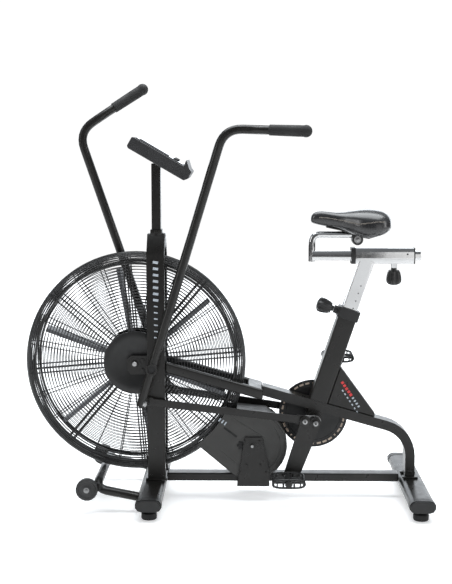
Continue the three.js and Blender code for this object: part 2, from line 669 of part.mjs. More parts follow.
function saddle() {
  const points = [];
  const faces = [];
  const around = 14;
  for (const [x, half, top, seam, under] of SADDLE_SECTIONS) {
    for (let i = 0; i < around; i += 1) {
      const angle = (2 * Math.PI * i) / around;
      const rise = Math.sin(angle) > 0 ? top - seam : seam - under;
      const wide = Math.sign(Math.cos(angle)) * Math.abs(Math.cos(angle)) ** 0.7;
      const height = rise * Math.sign(Math.sin(angle)) * Math.abs(Math.sin(angle)) ** 0.8;
      points.push(x, wide * half, seam + height);
    }
  }
  const rows = SADDLE_SECTIONS.length;
  for (let row = 0; row + 1 < rows; row += 1) {
    for (let i = 0; i < around; i += 1) {
      const a = row * around + i;
      const b = row * around + ((i + 1) % around);
      faces.push(a, b, a + around, b, b + around, a + around);
    }
  }
  const ends = [[0, SADDLE_SECTIONS[0]], [(rows - 1) * around, SADDLE_SECTIONS[rows - 1]]];
  ends.forEach(([first, [x, , , seam]], which) => {
    const hub = points.length / 3;
    points.push(x, 0, seam);
    for (let i = 0; i < around; i += 1) {
      const [a, b] = [first + i, first + ((i + 1) % around)];
      if (which === 0) faces.push(hub, b, a);
      else faces.push(hub, a, b);
    }
  });
  const shell = new THREE.BufferGeometry();
  shell.setAttribute("position", new THREE.BufferAttribute(new Float32Array(points), 3));
  shell.setIndex(faces);
  const room = box(SADDLE.clamp - 24, SADDLE.clamp + 50, -24, 24, 800, 884);
  const channel = box(SADDLE.clamp - 86, SADDLE.clamp, -15, 15, 800, 884);
  piece("saddle", cut(shell, join(room, channel)), "leather");
  const drum = sideBar(1, SADDLE.clamp, 844, 18, -22, 22, 20);
  const block = box(SADDLE.clamp - 17, SADDLE.clamp + 17, -20, 20, 844, 880);
  const bore = alongBike(disc(SADDLE.tube + GAP, 14), 380, 480).translate(0, 0, SADDLE.z);
  piece("saddle_clamp", cut(join(drum, block), bore), "plastic");
}

// ---------------------------------------------------------------- transport wheels
function transport() {
  const arm = 182;
  const parts = [];
  const v = (x, y, z) => new THREE.Vector3(x, y, z);
  const front = STABILIZER.front - STABILIZER.width / 2 - GAP;
  const path = [
    v(front + 2, -arm, 48),
    ...bendPoints(v(-368, -arm, 68), v(-398, -arm, 76), v(-394, -arm + 30, 92), 5),
    ...bendPoints(v(-394, arm - 30, 92), v(-398, arm, 76), v(-368, arm, 68), 5),
    v(front + 2, arm, 48),
  ];
  parts.push(tubeAlong(path, 14, 8));
  for (const [, side] of SIDES) {
    const tab = link([-394, 82], [WHEEL.x, WHEEL.z], 13, 13);
    parts.push(sidePlate(side, tab, 182, WHEEL.y[0] - 2));
    parts.push(sideBar(side, WHEEL.x, WHEEL.z, 6, WHEEL.y[0] - 3, WHEEL.y[1] - 3, 10));
  }
  const room = ovalBar(STABILIZER.front, STABILIZER.width + 2 * GAP, STABILIZER.height + 2 * GAP, -250, 250);
  piece("transport_frame", cut(join(...parts), room), "powder");
  for (const [label, side] of SIDES) {
    const [from, to] = WHEEL.y;
    const rim = sideBar(side, WHEEL.x, WHEEL.z, WHEEL.radius, from + 2, to - 2, 20);
    const face = sideBar(side, WHEEL.x, WHEEL.z, WHEEL.radius - 5, from, to, 20);
    const bore = sideBar(side, WHEEL.x, WHEEL.z, 6.6, from - 1, to - 2.6, 10);
    piece(`${label}_transport_wheel`, cut(join(rim, face), bore), "plastic");
  }
}

// ---------------------------------------------------------------- assembly
stabilizer("front", STABILIZER.front);
stabilizer("rear", STABILIZER.rear);
lowerRail();
mast();
consoleHead();
frontFork();
rearSpine();
driveBracket();
driveCovers();
jackshaft();
for (const [label, side] of SIDES) guard(label, side);
fan();
axlePlates();
crankSet();
handlebars();
seatFrame();
seatSlider();
saddle();
transport();

// The origin lies on the floor below the middle of the whole machine.
const bounds = new THREE.Box3().setFromObject(group, true);
const middle = (bounds.min.x + bounds.max.x) / 2;
for (const mesh of group.children) mesh.position.x -= middle;

export default group;
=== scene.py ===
"""Looks of a caged-fan exercise bike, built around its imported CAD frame. Lengths are in metres."""

import json
import math

import bmesh
import bpy
import numpy as np
from mathutils import Matrix, Vector
from mathutils.bvhtree import BVHTree


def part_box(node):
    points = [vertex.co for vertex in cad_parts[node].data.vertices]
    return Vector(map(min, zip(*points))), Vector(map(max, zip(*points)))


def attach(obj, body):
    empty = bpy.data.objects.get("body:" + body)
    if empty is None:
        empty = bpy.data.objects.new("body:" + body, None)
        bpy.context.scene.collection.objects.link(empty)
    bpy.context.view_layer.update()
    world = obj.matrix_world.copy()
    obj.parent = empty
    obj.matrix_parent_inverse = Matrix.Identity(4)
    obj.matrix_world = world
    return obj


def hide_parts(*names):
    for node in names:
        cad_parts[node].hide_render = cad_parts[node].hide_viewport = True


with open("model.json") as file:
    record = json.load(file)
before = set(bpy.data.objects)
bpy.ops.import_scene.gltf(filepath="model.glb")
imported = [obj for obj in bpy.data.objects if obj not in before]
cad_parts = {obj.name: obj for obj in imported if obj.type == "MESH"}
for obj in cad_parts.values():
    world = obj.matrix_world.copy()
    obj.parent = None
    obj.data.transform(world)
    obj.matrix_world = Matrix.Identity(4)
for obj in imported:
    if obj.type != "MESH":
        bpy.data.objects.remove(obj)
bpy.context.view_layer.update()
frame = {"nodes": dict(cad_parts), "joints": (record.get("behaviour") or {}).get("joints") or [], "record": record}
SCENE = bpy.context.scene
SIDES = (("near", -1), ("far", 1))
JOINTS = {joint["name"]: joint for joint in frame["joints"]}

LENS = 72.74
CAMERA_AT = (0.0614, -3.7714, 1.1427)
CAMERA_PITCH = 82.9
CAMERA_TURN = 0.915
FLOOR_RADIUS = 7.0
PRINT_DEPTH = 0.0006


def middle(node):
    """The middle of a node's box."""
    low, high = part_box(node)
    return (low + high) / 2


def joint_point(name):
    """Where a joint's axis passes through its body."""
    return Vector(JOINTS[name]["pos_m"])


def reach_of(node):
    """How far a node reaches from the middle plane of the bike."""
    low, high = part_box(node)
    return max(abs(low.y), abs(high.y))


def vertices_of(node):
    return [v.co for v in frame["nodes"][node].data.vertices]


def sideways(point, side, y):
    """The point moved to y away from the middle plane, on one side."""
    return Vector((point.x, side * y, point.z))


def spread_over(low, high, count):
    """Evenly spaced numbers from low to high."""
    return [low + (high - low) * i / (count - 1) for i in range(count)]


# ---------------------------------------------------------------- materials
def new_material(name):
    made = bpy.data.materials.new(name)
    made.use_nodes = True
    tree = made.node_tree
    return made, tree.nodes, tree.links, tree.nodes["Principled BSDF"]


def noise(nodes, links, scale, detail=3.0, stretch=None):
    """A noise value that follows the piece, optionally stretched along one axis."""
    where = nodes.new("ShaderNodeTexCoord")
    texture = nodes.new("ShaderNodeTexNoise")
    texture.inputs["Scale"].default_value = scale
    texture.inputs["Detail"].default_value = detail
    if stretch is None:
        links.new(where.outputs["Object"], texture.inputs["Vector"])
    else:
        mapping = nodes.new("ShaderNodeMapping")
        mapping.inputs["Scale"].default_value = stretch
        links.new(where.outputs["Object"], mapping.inputs["Vector"])
        links.new(mapping.outputs["Vector"], texture.inputs["Vector"])
    return texture.outputs["Fac"]


def grain(nodes, links, scale):
    """Pebbled cells, as on leather and moulded plastic."""
    where = nodes.new("ShaderNodeTexCoord")
    cells = nodes.new("ShaderNodeTexVoronoi")
    cells.feature = "SMOOTH_F1"
    cells.inputs["Scale"].default_value = scale
    links.new(where.outputs["Object"], cells.inputs["Vector"])
    return cells.outputs["Distance"]


def between(nodes, links, value, low, high, start=0.3, end=0.7):
    """Maps a texture value to a number range."""
    ranged = nodes.new("ShaderNodeMapRange")
    ranged.inputs["From Min"].default_value = start
    ranged.inputs["From Max"].default_value = end
    ranged.inputs["To Min"].default_value = low
    ranged.inputs["To Max"].default_value = high
    links.new(value, ranged.inputs["Value"])
    return ranged.outputs["Result"]


def blended(nodes, links, value, dark, light):
    """A colour between dark and light that follows a value from 0 to 1."""
    mix = nodes.new("ShaderNodeMix")
    mix.data_type = "RGBA"
    mix.inputs["A"].default_value = (*dark, 1)
    mix.inputs["B"].default_value = (*light, 1)
    links.new(value, mix.inputs["Factor"])
    return mix.outputs["Result"]


def bumped(nodes, links, height, depth):
    """A surface normal that follows a height value, depth metres from low to high."""
    bump = nodes.new("ShaderNodeBump")
    bump.inputs["Strength"].default_value = 1.0
    bump.inputs["Distance"].default_value = depth
    links.new(height, bump.inputs["Height"])
    return bump.outputs["Normal"]


def finish_of(name, dark, light, rough, metallic=0.0, patch=7.0, fine=900.0, depth=0.00006,
              cells=None, stretch=None, coat=0.0, specular=0.5):
    """A material with patchy colour, uneven gloss and a fine surface texture."""
    made, nodes, links, shader = new_material(name)
    colour = blended(nodes, links, between(nodes, links, noise(nodes, links, patch), 0, 1), dark, light)
    links.new(colour, shader.inputs["Base Color"])
    gloss = noise(nodes, links, patch * 6, 5.0, stretch)
    links.new(between(nodes, links, gloss, *rough), shader.inputs["Roughness"])
    height = grain(nodes, links, cells) if cells else noise(nodes, links, fine, 2.0, stretch)
    links.new(bumped(nodes, links, height, depth), shader.inputs["Normal"])
    shader.inputs["Metallic"].default_value = metallic
    shader.inputs["Coat Weight"].default_value = coat
    shader.inputs["Coat Roughness"].default_value = 0.12
    shader.inputs["Specular IOR Level"].default_value = specular
    return made


MATERIALS = {
    "black_frame": finish_of("powder_coat", (0.0065, 0.006, 0.0054), (0.0105, 0.0098, 0.0088), (0.26, 0.36),
                             fine=1300, depth=0.00005, specular=0.3),
    "guard_wire": finish_of("coated_wire", (0.006, 0.006, 0.006), (0.011, 0.011, 0.011), (0.28, 0.4)),
    "fan_blade": finish_of("blade_paint", (0.1, 0.103, 0.11), (0.15, 0.155, 0.165), (0.36, 0.48),
                           metallic=0.35),
    "chrome": finish_of("chrome_plate", (0.42, 0.42, 0.42), (0.5, 0.5, 0.5), (0.05, 0.12),
                        metallic=1.0, fine=260, depth=0.00001),
    "steel": finish_of("zinc_plate", (0.2, 0.2, 0.2), (0.34, 0.34, 0.34), (0.26, 0.4),
                       metallic=1.0, stretch=(1, 14, 1), depth=0.00003),
    "rubber": finish_of("grip_rubber", (0.008, 0.008, 0.008), (0.014, 0.014, 0.014), (0.62, 0.78),
                        cells=900, depth=0.00016, specular=0.35),
    "saddle_cover": finish_of("saddle_leather", (0.007, 0.007, 0.008), (0.012, 0.012, 0.013), (0.24, 0.36),
                              cells=620, depth=0.00012, coat=0.25),
    "console_face": finish_of("display_window", (0.012, 0.013, 0.016), (0.02, 0.022, 0.026), (0.06, 0.12),
                              coat=0.5, depth=0.00001),
    "console_shell": finish_of("console_plastic", (0.010, 0.010, 0.011), (0.016, 0.016, 0.017), (0.4, 0.52),
                               cells=1100, depth=0.00008),
    "wheel": finish_of("wheel_plastic", (0.010, 0.010, 0.010), (0.018, 0.018, 0.018), (0.42, 0.6),
                       cells=800, depth=0.0001),
    "drive_cover": finish_of("cover_plastic", (0.014, 0.0135, 0.012), (0.021, 0.02, 0.018), (0.4, 0.52),
                             cells=900, depth=0.0001),
    "black_plastic": finish_of("moulded_plastic", (0.007, 0.007, 0.007), (0.012, 0.012, 0.012), (0.34, 0.48),
                               cells=1000, depth=0.00008, specular=0.35),
}
PRINT_LIGHT = finish_of("light_print", (0.32, 0.36, 0.40), (0.42, 0.46, 0.50), (0.4, 0.5))
PRINT_RED = finish_of("red_print", (0.42, 0.012, 0.014), (0.52, 0.02, 0.02), (0.4, 0.5))
PRINT_SAND = finish_of("sand_print", (0.42, 0.33, 0.26), (0.54, 0.44, 0.35), (0.45, 0.55))
THREAD = finish_of("seam_thread", (0.13, 0.115, 0.10), (0.2, 0.18, 0.16), (0.55, 0.7), fine=2500)


# ---------------------------------------------------------------- mesh helpers
def circle_points(centre, radius, y, count):
    """Points of a circle that faces along Y, y away from the middle of the bike."""
    made = []
    for i in range(count):
        angle = 2 * math.pi * i / count
        made.append(Vector((centre.x + radius * math.cos(angle), y, centre.z + radius * math.sin(angle))))
    return made


def join_rings(bm, rings, closed=False):
    """Faces between neighbouring rings of vertices, with flat ends unless the row of rings closes."""
    pairs = list(zip(rings, rings[1:]))
    if closed:
        pairs.append((rings[-1], rings[0]))
    for first, second in pairs:
        count = len(first)
        for i in range(count):
            j = (i + 1) % count
            bm.faces.new((first[i], first[j], second[j], second[i]))
    if not closed:
        bm.faces.new(list(reversed(rings[0])))
        bm.faces.new(rings[-1])


def sweep(bm, points, radius, sides=8, closed=False):
    """A round bar through points; radius is one number, or one for each point."""
    rings = []
    normal = None
    last = len(points) - 1
    for i, point in enumerate(points):
        before = points[i - 1] if i or closed else point
        after = points[(i + 1) % (last + 1)] if i < last or closed else point
        tangent = (after - before).normalized()
        if normal is None:
            helper = Vector((0, 1, 0)) if abs(tangent.y) < 0.9 else Vector((1, 0, 0))
            normal = tangent.cross(helper)
        normal = (normal - tangent * normal.dot(tangent)).normalized()
        side = tangent.cross(normal)
        reach = radius[i] if isinstance(radius, (list, tuple)) else radius
        ring = []
        for k in range(sides):
            angle = 2 * math.pi * k / sides
            ring.append(bm.verts.new(point + (normal * math.cos(angle) + side * math.sin(angle)) * reach))
        rings.append(ring)
    join_rings(bm, rings, closed)


def turned(bm, centre, profile, axis=(0, 1, 0), sides=32):
    """A solid of revolution; profile lists (distance along the axis, radius) with a radius above 0."""
    along = Vector(axis).normalized()
    helper = Vector((0, 0, 1)) if abs(along.z) < 0.9 else Vector((1, 0, 0))
    first = along.cross(helper).normalized()
    second = along.cross(first)
    rings = []
    for distance, radius in profile:
        ring = []
        for k in range(sides):
            angle = 2 * math.pi * k / sides
            out = first * math.cos(angle) + second * math.sin(angle)
            ring.append(bm.verts.new(centre + along * distance + out * radius))
        rings.append(ring)
    join_rings(bm, rings)


def block(bm, centre, size, turn=0.0, edge=0.0):
    """A box turned about Y by turn degrees, with rounded edges."""
    place = Matrix.Translation(centre) @ Matrix.Rotation(math.radians(turn), 4, "Y")
    made = bmesh.ops.create_cube(bm, size=1.0, matrix=place @ Matrix.Diagonal((*size, 1.0)))
    if edge:
        edges = {e for v in made["verts"] for e in v.link_edges}
        bmesh.ops.bevel(bm, geom=list(edges), offset=edge, segments=2, affect="EDGES", profile=0.5)


def bolt(bm, centre, axis, radius, height):
    """A hexagonal bolt head on a washer, standing out along axis."""
    turned(bm, centre, [(-0.0005, radius * 1.5), (height * 0.25, radius * 1.5)], axis, 20)
    head = [(0, radius), (height * 0.85, radius), (height, radius * 0.82)]
    turned(bm, centre, head, axis, 6)


def piece(name, bm, material, body, stands_for=(), smooth=40, bevel=0.0, levels=0):
    """Turns a mesh in progress into a named piece that rides on a CAD body."""
    bmesh.ops.recalc_face_normals(bm, faces=bm.faces)
    mesh = bpy.data.meshes.new(name)
    bm.to_mesh(mesh)
    bm.free()
    mesh.materials.append(material)
    mesh.shade_smooth()
    if not levels:
        mesh.set_sharp_from_angle(angle=math.radians(smooth))
    made = bpy.data.objects.new(name, mesh)
    SCENE.collection.objects.link(made)
    if bevel:
        round_edges(made, bevel)
    if levels:
        smoother = made.modifiers.new("smooth", "SUBSURF")
        smoother.levels = levels
        smoother.render_levels = levels
    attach(made, body)
    if stands_for:
        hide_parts(*stands_for)
    return made


def round_edges(made, width):
    """Small rounded edges with clean flat faces between them."""
    bevel = made.modifiers.new("edges", "BEVEL")
    bevel.width = width
    bevel.segments = 3 if width > 0.003 else 2
    bevel.limit_method = "ANGLE"
    bevel.angle_limit = math.radians(50)
    flat = made.modifiers.new("normals", "WEIGHTED_NORMAL")
    flat.keep_sharp = False


# ---------------------------------------------------------------- carried-over CAD nodes
# How wide the rounded edges of the CAD nodes are.
USUAL_EDGE = 0.0012
EDGE_WIDTH = {"lower_rail": 0.006, "mast": 0.007, "rear_spine": 0.013, "front_fork": 0.008,
              "seat_tube": 0.005, "gusset": 0.004, "console_housing": 0.006, "drive_bracket": 0.001,
              "chainwheel": 0.0004, "seat_post": 0.0015, "near_drive_cover": 0.005,
              "far_drive_cover": 0.005}


def finish_cad_nodes():
    """Gives every CAD node its material, rounded edges and smooth curved faces."""
    slots = {part["node"]: part["material_slot"] for part in frame["record"]["subparts"]}
    for name, node in frame["nodes"].items():
        mesh = node.data
        mesh.materials.clear()
        mesh.materials.append(MATERIALS[slots[name]])
        if "custom_normal" in mesh.attributes:
            mesh.attributes.remove(mesh.attributes["custom_normal"])
        mesh.shade_smooth()
        weld = node.modifiers.new("weld", "WELD")
        weld.merge_threshold = 0.00002
        merge = node.modifiers.new("merge", "DECIMATE")
        merge.decimate_type = "DISSOLVE"
        merge.angle_limit = math.radians(1.0)
        round_edges(node, EDGE_WIDTH.get(name, USUAL_EDGE))


# ---------------------------------------------------------------- fan cage
# The cage: wire radii, spacing of the rings, radius of its middle cover, and its doubled ribs.
CAGE_WIRE = 0.0014
SHOULDER_WIRE = 0.0022
HEAVY_WIRE = 0.0042
RIB_WIRE = 0.0024
SPOKE_WIRE = 0.0016
RING_GAP = 0.0095
RING_POINTS = 96
CAGE_HUB = 0.1
RIB_START = 5
RIBS = 8


def cage_profile(reach, half):
    """Radius and depth of the cage, from the end of its flat face round the shoulder to the rim."""
    corner = 0.032
    made = []
    for angle in spread_over(0, math.pi / 2, 8):
        made.append((reach - corner + corner * math.sin(angle), half - corner + corner * math.cos(angle)))
    made.append((reach, 0.007))
    return made


def cage_rings(bm, centre, side, shoulder, half):
    """The rings of the flat face, heaviest at its edge, and those round the shoulder."""
    face_end = shoulder[0][0]
    count = int((face_end - CAGE_HUB) / RING_GAP)
    radii = spread_over(CAGE_HUB, face_end, count + 1)[1:]
    for radius in radii:
        wire = HEAVY_WIRE if radius == radii[-1] else CAGE_WIRE
        sweep(bm, circle_points(centre, radius, side * half, RING_POINTS), wire, 6, True)
    for radius, depth in shoulder[1:]:
        sweep(bm, circle_points(centre, radius, side * depth, RING_POINTS), SHOULDER_WIRE, 6, True)


def cage(label, side):
    """Half of the wire cage: fine rings, doubled ribs, single spokes and the rolled rim."""
    low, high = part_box(f"{label}_guard")
    centre = joint_point("fan_spin")
    reach = (high.x - low.x) / 2 - 0.002
    half = reach_of(f"{label}_guard") - 0.004
    shoulder = cage_profile(reach, half)
    bm = bmesh.new()
    cage_rings(bm, centre, side, shoulder, half)
    sweep(bm, circle_points(centre, reach - 0.003, side * 0.0045, RING_POINTS), HEAVY_WIRE, 8, True)
    for i in range(RIBS):
        rib = RIB_START + 45 * i
        for offset in (-0.008, 0.008):
            spoke(bm, centre, side, rib, offset, shoulder, half, RIB_WIRE)
        for extra in (15, 30):
            spoke(bm, centre, side, rib + extra, 0, shoulder, half, SPOKE_WIRE)
    piece(f"{label}_cage", bm, MATERIALS["guard_wire"], "frame", [f"{label}_guard"],
          smooth=60)
    cage_hub(label, side, centre, half)


def spoke(bm, centre, side, degrees, offset, shoulder, half, wire):
    """One radial wire, just inside the rings, that turns over the shoulder to the rim."""
    angle = math.radians(degrees)
    out = Vector((math.cos(angle), 0, math.sin(angle)))
    across = Vector((-math.sin(angle), 0, math.cos(angle))) * offset
    lift = wire + CAGE_WIRE
    route = [(CAGE_HUB - 0.01, half - lift)]
    route += [(radius - lift * 0.8, depth - lift * 0.6) for radius, depth in shoulder]
    points = [centre + out * radius + across + Vector((0, side * depth, 0)) for radius, depth in route]
    sweep(bm, points, wire, 6)


def cage_hub(label, side, centre, half):
    """The pressed cover in the middle of the cage, with its step and four screws."""
    bm = bmesh.new()
    axis = (0, side, 0)
    edge = CAGE_HUB + 0.002
    crest = half + 0.0025
    dish = [(half - 0.006, edge), (half, edge), (crest, CAGE_HUB - 0.002), (crest, 0.072),
            (half - 0.002, 0.066), (half - 0.002, 0.0215), (half - 0.006, 0.0212)]
    turned(bm, centre, dish, axis, 64)
    screw = [(0, 0.0045), (0.0012, 0.0045), (0.0018, 0.0032)]
    for i in range(4):
        angle = math.radians(45 + 90 * i)
        out = Vector((math.cos(angle), 0, math.sin(angle)))
        turned(bm, sideways(centre + out * 0.086, side, half + 0.002), screw, axis, 16)
    piece(f"{label}_cage_cover", bm, MATERIALS["black_plastic"], "frame")


def cage_clips():
    """Screwed clips that hold the two cage halves together round the rim."""
    centre = joint_point("fan_spin")
    low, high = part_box("near_guard")
    rim = (high.x - low.x) / 2 - 0.008
    screw = [(0, 0.004), (0.006, 0.004), (0.007, 0.003)]
    bm = bmesh.new()
    for i in range(6):
        degrees = 27 + 60 * i
        angle = math.radians(degrees)
        at = centre + Vector((math.cos(angle), 0, math.sin(angle))) * rim
        block(bm, at, (0.006, 0.024, 0.016), -degrees, 0.001)
        for side in (-1, 1):
            turned(bm, at + Vector((0, side * 0.012, 0)), screw, (0, side, 0), 12)
    piece("cage_clips", bm, MATERIALS["black_frame"], "frame")


def blade_section(bm, at, up, width):
    """A ring of vertices round the folded sheet at one distance from the fan's axis."""
    sheet = 0.0012
    lip = 0.012
    flat = 0.032
    outline = [(-flat, lip), (-flat, 0), (flat, 0), (flat, lip)]
    ring = [bm.verts.new(at + up * h + Vector((0, y * width, 0))) for y, h in outline]
    for y, h in reversed(outline):
        inset = -math.copysign(sheet, y)
        inner = sheet if h == 0 else h
        ring.append(bm.verts.new(at + up * inner + Vector((0, y * width + inset, 0))))
    return ring


def fan_blades():
    """Sheet paddles with folded lips along both edges."""
    centre = joint_point("fan_spin")
    for i in range(1, 7):
        node = f"fan_blade_{i}"
        spread = np.array(vertices_of(node)) - np.array(centre)
        far = spread[np.argmax(np.hypot(spread[:, 0], spread[:, 2]))]
        out = Vector((spread[:, 0].mean(), 0, spread[:, 2].mean())).normalized()
        up = Vector((-out.z, 0, out.x))
        reach = Vector(far).dot(out)
        foot = centre - up * 0.006
        bm = bmesh.new()
        widths = ((0.064, 0.78), (0.086, 1.0), (reach - 0.004, 1.0), (reach, 0.96))
        join_rings(bm, [blade_section(bm, foot + out * distance, up, width) for distance, width in widths])
        piece(f"paddle_{i}", bm, MATERIALS["fan_blade"], "fan", [node], smooth=30)


# ---------------------------------------------------------------- grips, pedals, saddle
def long_axis(node):
    """Both ends of a long straight node, lowest X first, and its unit direction."""
    co = np.array(vertices_of(node))
    centre = co.mean(axis=0)
    direction = np.linalg.svd(co - centre)[2][0]
    direction = direction if direction[0] > 0 else -direction
    along = (co - centre) @ direction
    halfway = centre + direction * (along.max() + along.min()) / 2
    half = (along.max() - along.min()) / 2
    return Vector(halfway - direction * half), Vector(halfway + direction * half), Vector(direction)


def grips():
    """Foam-rubber grips with fine rings and a rounded end stop."""
    ball = 0.019
    steps = 46
    for label, _ in SIDES:
        start, end, along = long_axis(f"{label}_grip")
        length = (end - start).length
        points, radii = [], []
        for i in range(steps + 1):
            ridge = 0.0003 if i % 2 else 0.0
            points.append(start + along * ((length - 2 * ball) * i / steps))
            radii.append(0.0166 + 0.001 * i / steps + ridge)
        for i in range(1, 12):
            angle = math.pi * (0.32 + 0.67 * i / 11)
            points.append(end - along * (ball + ball * math.cos(angle)))
            radii.append(max(ball * math.sin(angle), 0.0012))
        bm = bmesh.new()
        sweep(bm, points, radii, 24)
        piece(f"{label}_soft_grip", bm, MATERIALS["rubber"], f"{label}_handle",
              [f"{label}_grip"], smooth=60)


def upright(bm, centre, x, y, reach, radius):
    """A short bar across the pedal's thickness."""
    sweep(bm, [centre + Vector((x, y, end * reach)) for end in (-1, 1)], radius, 8)


def pedal_end(bm, centre, half, end):
    """The rounded frame across one end of the pedal, with its uprights."""
    y = end * (half.y - 0.007)
    loop = []
    for k in range(28):
        angle = 2 * math.pi * k / 28
        x = (half.x - 0.004) * math.copysign(abs(math.cos(angle)) ** 0.55, math.cos(angle))
        z = (half.z - 0.0038) * math.copysign(abs(math.sin(angle)) ** 0.8, math.sin(angle))
        loop.append(centre + Vector((x, y, z)))
    sweep(bm, loop, 0.0034, 8, True)
    for x in (-0.017, 0.017):
        upright(bm, centre, x, y, half.z - 0.005, 0.003)
    for x in (-0.036, 0.036):
        upright(bm, centre, x, y, half.z - 0.007, 0.0022)


def pedal_rail(bm, centre, half, end):
    """A tread along one long edge of the pedal, with teeth on both faces."""
    rail = centre + Vector((end * (half.x - 0.006), 0, 0))
    block(bm, rail, (0.007, 2 * half.y - 0.014, 0.016), 0, 0.0014)
    teeth = 8
    pitch = (2 * half.y - 0.026) / (teeth - 1)
    for k in range(teeth):
        for up in (-1, 1):
            at = Vector((-end * 0.001, (k - (teeth - 1) / 2) * pitch, up * 0.0095))
            block(bm, rail + at, (0.005, 0.005, 0.005), 0, 0.0008)


def pedals():
    """Wide platform pedals: barrel, end frames with three rounded openings, and toothed rails."""
    for label, side in SIDES:
        low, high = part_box(f"{label}_pedal")
        centre = (low + high) / 2
        half = (high - low) / 2
        bm = bmesh.new()
        barrel = [(-half.y, 0.010), (-half.y + 0.01, 0.0125), (-0.012, 0.0105), (0.012, 0.0105),
                  (half.y - 0.01, 0.0125), (half.y, 0.010)]
        turned(bm, centre, barrel, (0, 1, 0), 28)
        for end in (-1, 1):
            pedal_end(bm, centre, half, end)
            pedal_rail(bm, centre, half, end)
        for share in (-0.5, 0.5):
            bar = [centre + Vector((end * (half.x - 0.008), share * half.y, 0)) for end in (-1, 1)]
            sweep(bm, bar, 0.004, 8)
        body = f"{label}_pedal"
        piece(f"{label}_platform_pedal", bm, MATERIALS["black_plastic"], body, [body],
              smooth=35)
        cap = bmesh.new()
        outer = centre + Vector((0, side * half.y, 0))
        turned(cap, outer, [(-0.004, 0.008), (0.0, 0.008), (0.0006, 0.005)], (0, side, 0), 20)
        piece(f"{label}_pedal_cap", cap, MATERIALS["black_frame"], body)


def lobed(bm, start, axis, profile, lobes, depth):
    """A head with a shallowly lobed section; profile lists (distance, radius, amount of lobing)."""
    sides = 84
    along = Vector(axis).normalized()
    first = along.cross(Vector((0, 1, 0))).normalized()
    second = along.cross(first)
    rings = []
    for distance, radius, amount in profile:
        ring = []
        for k in range(sides):
            angle = 2 * math.pi * k / sides
            reach = radius * (1 - depth * amount * (1 - math.cos(lobes * angle)) / 2)
            out = first * math.cos(angle) + second * math.sin(angle)
            ring.append(bm.verts.new(start + along * distance + out * reach))
        rings.append(ring)
    join_rings(bm, rings)


KNOB_LENGTH = 0.049
KNOB_OUTLINE = ((0, 0.0165, 0), (0.003, 0.018, 0.4), (0.009, 0.0212, 1), (0.02, 0.0238, 1.4),
                (0.031, 0.025, 1.4), (0.038, 0.0246, 1.2), (0.043, 0.0215, 0.9), (0.0465, 0.0155, 0.6),
                (0.0485, 0.008, 0.2), (KNOB_LENGTH, 0.002, 0))


def knobs():
    """Both pull knobs: steel pin, plain flared neck and a lobed head with a domed end."""
    for label, body in (("post_knob", "post_pin"), ("slider_knob", "slider_pin")):
        axis = Vector(JOINTS[f"{body}_pull"]["axis"]).normalized()
        across = axis.cross(Vector((0, 1, 0)))
        offsets = [v.dot(across) for v in vertices_of(label)]
        depths = [v.dot(axis) for v in vertices_of(label)]
        line = across * ((max(offsets) + min(offsets)) / 2)
        start = min(depths)
        base = max(depths) - KNOB_LENGTH
        head = bmesh.new()
        lobed(head, line + axis * base, axis, KNOB_OUTLINE, 7, 0.16)
        neck = [(-0.007, 0.0092), (-0.001, 0.0092), (0.001, 0.0105)]
        turned(head, line + axis * base, neck, axis, 28)
        piece(f"{label}_head", head, MATERIALS["black_plastic"], body, [label],
              smooth=50)
        pin = bmesh.new()
        shank = [(0, 0.0042), (0.0008, 0.005), (base - start - 0.004, 0.005)]
        turned(pin, line + axis * start, shank, axis, 24)
        piece(f"{label}_pin", pin, MATERIALS["steel"], body)


# Sections of the saddle from nose to tail: how far along its length, then the width, crest,
# side seam and underside as shares of the saddle's box.
SADDLE_STATIONS = (
    (0.000, 0.10, 0.74, 0.66, 0.58), (0.020, 0.18, 0.86, 0.68, 0.52), (0.08, 0.24, 0.965, 0.72, 0.47),
    (0.18, 0.28, 0.97, 0.72, 0.41), (0.30, 0.33, 0.91, 0.67, 0.36), (0.42, 0.48, 0.92, 0.58, 0.24),
    (0.53, 0.74, 0.985, 0.48, 0.08), (0.64, 0.95, 1.035, 0.42, -0.03), (0.75, 1.02, 1.04, 0.40, -0.03),
    (0.86, 1.01, 1.005, 0.42, 0.05), (0.94, 0.90, 0.92, 0.44, 0.16), (0.988, 0.66, 0.79, 0.46, 0.28),
    (1.003, 0.38, 0.66, 0.47, 0.36),
)
GROOVE_DEPTH = 0.03
GROOVE_WIDTH = 0.009


def saddle_point(low, high, station, angle):
    """A point of the saddle's section; angle 0 is the far side's seam and a quarter turn the crest."""
    share, wide, top, seam, under = station
    across, up = math.cos(angle), math.sin(angle)
    size = high - low
    # The underside rises to the rails along the middle wherever the saddle is wide.
    hollow = max(0.0, 1 - abs(across) * 2.2) if under < 0.3 else 0.0
    belly = under + (0.42 - under) * hollow
    rise = top - seam if up > 0 else seam - belly
    y = size.y / 2 * wide * math.copysign(abs(across) ** 0.75, across)
    z = seam + rise * math.copysign(abs(up) ** 0.8, up)
    deep = GROOVE_DEPTH * min(1, share * 6) if up > 0.5 else 0.0
    groove = deep * math.exp(-((y / GROOVE_WIDTH) ** 2))
    return Vector((low.x + size.x * share, y, low.z + size.z * (z - groove)))


def saddle():
    """The padded saddle cover with a shallow channel, its side seams and its base shell."""
    low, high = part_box("saddle")
    pad = 0.001
    low, high = low + Vector((pad, pad, 0)), high - Vector((pad, pad, pad))
    around = 28
    angles = [2 * math.pi * k / around for k in range(around)]
    bm = bmesh.new()
    rings = []
    for station in SADDLE_STATIONS:
        rings.append([bm.verts.new(saddle_point(low, high, station, angle)) for angle in angles])
    join_rings(bm, rings)
    cover = piece("saddle_cover", bm, MATERIALS["saddle_cover"], "saddle", ["saddle"],
                  levels=2)
    saddle_seams(cover, low, high)
    saddle_base(low, high)


